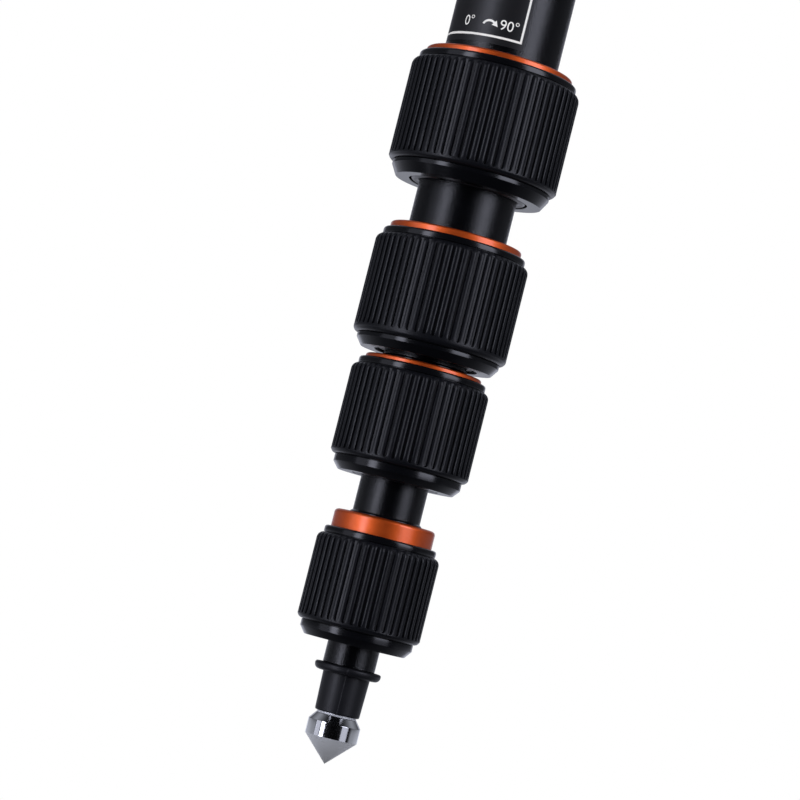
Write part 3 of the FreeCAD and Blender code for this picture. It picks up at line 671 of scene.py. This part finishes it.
tube = reach("tube_1")[0]
outside = tube + film_thickness
film_low, film_high = label_low - film_foot, label_low + label_height + film_margin
film_corners = [
    (tube + film_gap, film_low, 0.0),
    (outside, film_low, 0.0),
    (outside, film_high, 0.0),
    (tube + film_gap, film_high, 0.0),
]
right = math.radians(label_right) + film_margin / tube
left = right - (label_width + 2 * film_margin) / tube
film = turned("label_film", outline_of(film_corners), np.linspace(left, right, 64), whole=False)
label_black = gloss_black("label_black", (0.008, 0.0078, 0.008, 1), 0.4)
fit(film, label_black, "root", "tube_black")

white_ink, ink_shader, _, _ = new_finish("white_ink")
ink_shader.inputs["Base Color"].default_value = (0.92, 0.90, 0.78, 1)
ink_shader.inputs["Roughness"].default_value = 0.5

border = bpy.data.curves.new("label_outline", "CURVE")
border.dimensions = "2D"
border.fill_mode = "BOTH"
for inset in (0, line_width):
    left_line, right_line, top_line = -label_width + inset, -inset, label_height - inset
    frame = [(left_line, inset), (right_line, inset), (right_line, top_line), (left_line, top_line)]
    flat_outline(border, np.array(frame))
fit(printed("label_outline", border, 0, 0, outside), white_ink, "root", "tube_black")

arrow = bpy.data.curves.new("label_arrow", "CURVE")
arrow.dimensions = "2D"
arrow.fill_mode = "BOTH"
sweep = np.radians(np.linspace(arc_from, arc_to, 24))
outer_arc = arc_outer * np.column_stack([np.cos(sweep), np.sin(sweep)])
inner_arc = arc_inner * np.column_stack([np.cos(sweep[::-1]), np.sin(sweep[::-1])])
end = math.radians(arc_to)
outwards, onwards = np.array([math.cos(end), math.sin(end)]), np.array([math.sin(end), -math.cos(end)])
tip = (arc_inner + arc_outer) / 2 * outwards + head_length * onwards
head = [head_outer * outwards, tip, head_inner * outwards]
flat_outline(arrow, np.vstack([outer_arc, head, inner_arc]))
fit(printed("label_arrow", arrow, arrow_middle, marks_height, outside), white_ink, "root", "tube_black")

for name, words, x in (("label_zero", "0°", zero_left), ("label_quarter", "90°", quarter_left)):
    text = bpy.data.curves.new(name, "FONT")
    text.body = words
    text.size = text_size
    fit(printed(name, text, x, marks_height, outside), white_ink, "root", "tube_black")

# Split collets
# A moulded nylon ring sits in each nut's floor, where its bead shows round the tube below. A slit lets the
# sleeve's cone squeeze it on the tube when the nut is screwed up. Above the flange it is a cone too.

collet_gap, collet_flange, collet_wall, collet_split = 0.05, 1.1, 1.85, 2.5
cone_root, cone_shoulder, cone_tip = 0.84, 0.3, 0.36
bead_inner, bead_outer = 0.75, 0.9
collet_reach = {1: 0.05, 2: -0.4, 3: 0.05, 4: 0.05}  # below the nut; sleeve 3 comes up close to lock 2
split_angles = {1: 26, 2: 24, 3: -21, 4: 8}  # degrees to the left of the outer face


def moulded_nylon(name="moulded_nylon", colour=(0.006, 0.0062, 0.0068, 1), rough=0.42, gloss=0.5):
    """Moulded nylon: a spark-eroded texture in the bump and a roughness that drifts a little."""
    material, shader, add, join = new_finish(name)
    where = add("TexCoord")
    texture = add("TexNoise", Scale=6000.0, Detail=3.0)
    drift = add("TexNoise", Scale=300.0, Detail=2.0)
    join(where.outputs["Object"], texture.inputs["Vector"])
    join(where.outputs["Object"], drift.inputs["Vector"])
    satin = add("MapRange", To_Min=rough - 0.08, To_Max=rough + 0.08)
    join(drift.outputs["Fac"], satin.inputs["Value"])
    join(satin.outputs["Result"], shader.inputs["Roughness"])
    bump = add("Bump", Strength=0.25, Distance=0.00001)
    join(texture.outputs["Fac"], bump.inputs["Height"])
    join(bump.outputs["Normal"], shader.inputs["Normal"])
    shader.inputs["Base Color"].default_value = colour
    shader.inputs["Specular IOR Level"].default_value = gloss
    return material


collet_plastic = moulded_nylon("collet_plastic", (0.011, 0.0115, 0.0125, 1), 0.35)
for k in range(1, 5):
    high = reach(f"collet_{k}")[2]
    nut_low = reach(f"lock_nut_{k}")[1]
    low = nut_low - collet_reach[k]
    tube, inner_tube = reach(f"tube_{k}")[0], reach(f"tube_{k + 1}")[0]
    flange_low = nut_low + nut_floor + collet_gap
    flange_high = flange_low + collet_flange
    corners = [
        (inner_tube + collet_gap, low, bead_inner),
        (inner_tube + collet_wall, low, bead_outer),
        (inner_tube + collet_wall, flange_low, 0.0),
        (tube + thread_wall - 2 * collet_gap, flange_low, 0.15),
        (tube + thread_wall - 2 * collet_gap, flange_high, 0.15),
        (tube + cone_root, flange_high, 0.0),
        (tube + cone_root, flange_high + cone_shoulder, 0.0),
        (tube - cone_tip, high, 0.15),
        (inner_tube + collet_gap, high, 0.15),
    ]
    split = math.radians(-split_angles[k])
    half = collet_split / 2 / (inner_tube + 1)  # at the middle of its wall
    angles = np.linspace(split + half, split + 2 * math.pi - half, 144)
    piece = turned(f"split_collet_{k}", outline_of(corners), angles, whole=False)
    fit(piece, collet_plastic, f"collet_{k}", "collet_plastic", f"collet_{k}")

# Foot sleeve
# A moulded nylon plug is pressed in the last tube. Its flange closes the tube and its sleeve covers the
# spike's neck. The mould's parting line runs down its front and back as a fine ridge.

plug_radius, plug_length, stud_hole, insert_hole, foot_floor = 3.95, 12, 2.55, 3.45, 3.5
sleeve_end, sleeve_middle, sleeve_root = 4.28, 4.4, 4.50
flange_radius, flange_height = 6.35, 1.55


def parting_ridge(rise=0.04, half_width=0.13):
    """A ridge at the front and the back: it falls off as a raised cosine over its half width."""

    def cut(a, radius, height):
        away = np.abs(radius * np.sin(a))
        outside = (radius > plug_radius + 0.2) & (away < half_width)
        return radius + outside * rise * (1 + np.cos(math.pi * away / half_width)) / 2

    return cut


foot_plastic = moulded_nylon("foot_plastic", (0.005, 0.0052, 0.0066, 1), 0.43, 0.3)
radius, low, high = reach("foot_sleeve")
flange_low, flange_high = high - plug_length - flange_height, high - plug_length
corners = [
    (stud_hole, low, 0.1),
    (sleeve_end, low, 0.35),
    (sleeve_root, flange_low, 0.12),
    (flange_radius, flange_low, 1.0),
    (flange_radius, flange_high, 0.4),
    (plug_radius, flange_high, 0.0),
    (plug_radius, high, 0.4),
    (insert_hole, high, 0.1),
    (insert_hole, low + foot_floor, 0.0),
    (stud_hole, low + foot_floor, 0.0),
]
ridge = np.array([-0.13, -0.09, -0.05, 0, 0.05, 0.09, 0.13]) / sleeve_middle
plain = np.linspace(0.06, math.pi - 0.06, 80)
angles = np.concatenate([ridge, plain, ridge + math.pi, plain + math.pi])
piece = turned("foot_sleeve_moulding", outline_of(corners), angles, parting_ridge())
fit(piece, foot_plastic, "section_5", "foot_plastic", "foot_sleeve")

# Spike
# The spike is turned from steel: a satin right-angled cone, a polished band and bevel, and a stud that screws
# into the foot.

cone_height, band_height, bevel_height, neck_height = 5.0, 7.8, 9.4, 9.6  # above the tip
polish_start, polish_end = 5.05, 9.2
neck_radius, stud_radius = 3.75, 2.5


def turned_steel(polished_low, polished_high, fade=0.08, name="turned_steel"):
    """Steel with turning lines, which are noise stretched across the leg's axis. It is polished between the
    two heights, in millimetres, and satin elsewhere, and one fades into the other."""
    material, shader, add, join = new_finish(name)
    where = add("TexCoord")
    stretch = add("Mapping", Scale=(120, 120, 9000))
    join(where.outputs["Object"], stretch.inputs["Vector"])
    lines = add("TexNoise", Scale=1.0, Detail=3.0)
    join(stretch.outputs["Vector"], lines.inputs["Vector"])
    part = add("SeparateXYZ")
    join(where.outputs["Object"], part.inputs[0])
    above = add("MapRange", From_Min=(polished_low - fade) * mm, From_Max=polished_low * mm)
    below = add("MapRange", From_Min=(polished_high + fade) * mm, From_Max=polished_high * mm)
    join(part.outputs["Z"], above.inputs["Value"])
    join(part.outputs["Z"], below.inputs["Value"])
    polished = add("Math", operation="MULTIPLY")
    join(above.outputs["Result"], polished.inputs[0])
    join(below.outputs["Result"], polished.inputs[1])
    dull = add("MapRange", To_Min=0.5, To_Max=0.12)
    join(polished.outputs["Value"], dull.inputs["Value"])
    join(dull.outputs["Result"], shader.inputs["Roughness"])
    faint = add("MapRange", To_Min=0.35, To_Max=0.03)
    join(polished.outputs["Value"], faint.inputs["Value"])
    bump = add("Bump", Distance=0.000006)
    join(faint.outputs["Result"], bump.inputs["Strength"])
    join(lines.outputs["Fac"], bump.inputs["Height"])
    join(bump.outputs["Normal"], shader.inputs["Normal"])
    metal = add("MapRange", To_Min=0.4, To_Max=1.0)
    join(polished.outputs["Value"], metal.inputs["Value"])
    join(metal.outputs["Result"], shader.inputs["Metallic"])
    shader.inputs["Base Color"].default_value = (0.74, 0.75, 0.75, 1)
    return material


band, low, high = reach("spike")
steel = turned_steel(low + polish_start, low + polish_end)
corners = [
    (0, low, 0.0),
    (band, low + cone_height, 0.12),
    (band, low + band_height, 0.10),
    (neck_radius, low + bevel_height, 0.08),
    (neck_radius, low + neck_height, 0.0),
    (stud_radius, low + neck_height, 0.0),
    (stud_radius, high, 0.3),
    (0, high, 0.0),
]
piece = turned("steel_spike", outline_of(corners), 192)
fit(piece, steel, "section_5", "steel", "spike")

# Top casting
# The tube is bonded in a die-cast aluminium fitting: a socket, a coned shoulder and the flat eye of the
# hinge. It wears the tubes' black powder coat, a little duller.


def softened(node, name, width=0.25, crease=28):
    """A copy of a CAD piece's surface with its loose triangles merged, flat areas joined up, and every edge
    sharper than the crease rounded by a small bevel."""
    mesh = nodes[node].data.copy()
    mesh.materials.clear()
    solid = bmesh.new()
    solid.from_mesh(mesh)
    bmesh.ops.remove_doubles(solid, verts=solid.verts, dist=1e-6)
    bmesh.ops.dissolve_limit(solid, angle_limit=math.radians(0.5), verts=solid.verts, edges=solid.edges)
    solid.to_mesh(mesh)
    solid.free()
    piece = shown(name, mesh, crease)
    bevel = piece.modifiers.new("soft_edges", "BEVEL")
    bevel.width = width * mm
    bevel.segments = 3
    bevel.limit_method = "ANGLE"
    bevel.angle_limit = math.radians(crease)
    bevel.harden_normals = True
    piece.modifiers.move(1, 0)  # ahead of the even shading
    return piece


casting_black = powder_coat("cast_powder_coat", grain=3600, rough=0.33)
fit(softened("leg_casting", "eye_casting"), casting_black, "root", "casting_black", "leg_casting")

# Hinge bushes
# Two flanged bushes, moulded in grey acetal, are pressed in the eye from its two sides and run on the axle.

bush_plastic = moulded_nylon("bush_plastic", (0.22, 0.22, 0.21, 1), 0.45)
for side in ("left", "right"):
    piece = softened(f"pivot_bush_{side}", f"hinge_bush_{side}", 0.15)
    fit(piece, bush_plastic, "root", "bush_plastic", f"pivot_bush_{side}")

# Angle stop
# A black anodised stop slides through the eye. Its ribbed plate is pulled out with a finger to let the leg
# swing to another angle, and a steel dowel through its window keeps it in.

tab_metal = gloss_black("tab_anodised", (0.006, 0.0063, 0.007, 1), 0.32)
fit(softened("angle_tab", "angle_stop", 0.15), tab_metal, "angle_tab", "tab_metal", "angle_tab")

pin_steel, pin_shader, _, _ = new_finish("pin_steel")
pin_shader.inputs["Base Color"].default_value = (0.5, 0.5, 0.51, 1)
pin_shader.inputs["Metallic"].default_value = 1.0
pin_shader.inputs["Roughness"].default_value = 0.28
fit(softened("tab_pin", "stop_dowel", 0.12), pin_steel, "root", "steel", "tab_pin")

# Return spring
# A coil of spring wire lies in the stop's window, between the dowel and the window's end. It closes up when
# the stop is pulled out.

wire_radius, wire_sides, coil_turns, flat_turns = 0.25, 12, 5.0, 0.6


def coil_spring(name, centre, low, high, outer):
    """A coil along Y with closed ends: it lies flat for part of its first and last turns, and rises evenly
    between them. The round wire is swept round it, in the plane of the radius and the axis."""
    mean = outer - wire_radius
    turns = np.linspace(0, coil_turns, 241)
    rise = np.clip((turns - flat_turns) / (coil_turns - 2 * flat_turns), 0, 1)
    middle = low + wire_radius + (high - low - 2 * wire_radius) * rise
    around = 2 * math.pi * turns
    section = np.linspace(0, 2 * math.pi, wire_sides, endpoint=False)
    out = mean + wire_radius * np.cos(section)[None]
    points = np.stack([
        centre[0] + out * np.cos(around)[:, None],
        middle[:, None] + wire_radius * np.sin(section)[None],
        centre[1] + out * np.sin(around)[:, None],
    ], -1).reshape(-1, 3)
    i, j = np.meshgrid(np.arange(len(turns) - 1), np.arange(wire_sides), indexing="ij")
    here, beyond = i * wire_sides, (i + 1) * wire_sides
    after = (j + 1) % wire_sides
    quads = np.stack([here + j, here + after, beyond + after, beyond + j], -1).reshape(-1, 4)
    ends = [list(range(wire_sides))[::-1], list(range(len(points) - wire_sides, len(points)))]
    mesh = bpy.data.meshes.new(name)
    mesh.from_pydata((points * mm).tolist(), [], quads.tolist() + ends)
    return shown(name, mesh, 50)


low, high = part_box("tab_spring")
spring = coil_spring("return_spring", (0.0, (low.z + high.z) / 2 / mm), low.y / mm, high.y / mm, high.x / mm)
fit(spring, pin_steel, "root", "spring_steel", "tab_spring")
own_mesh(spring)
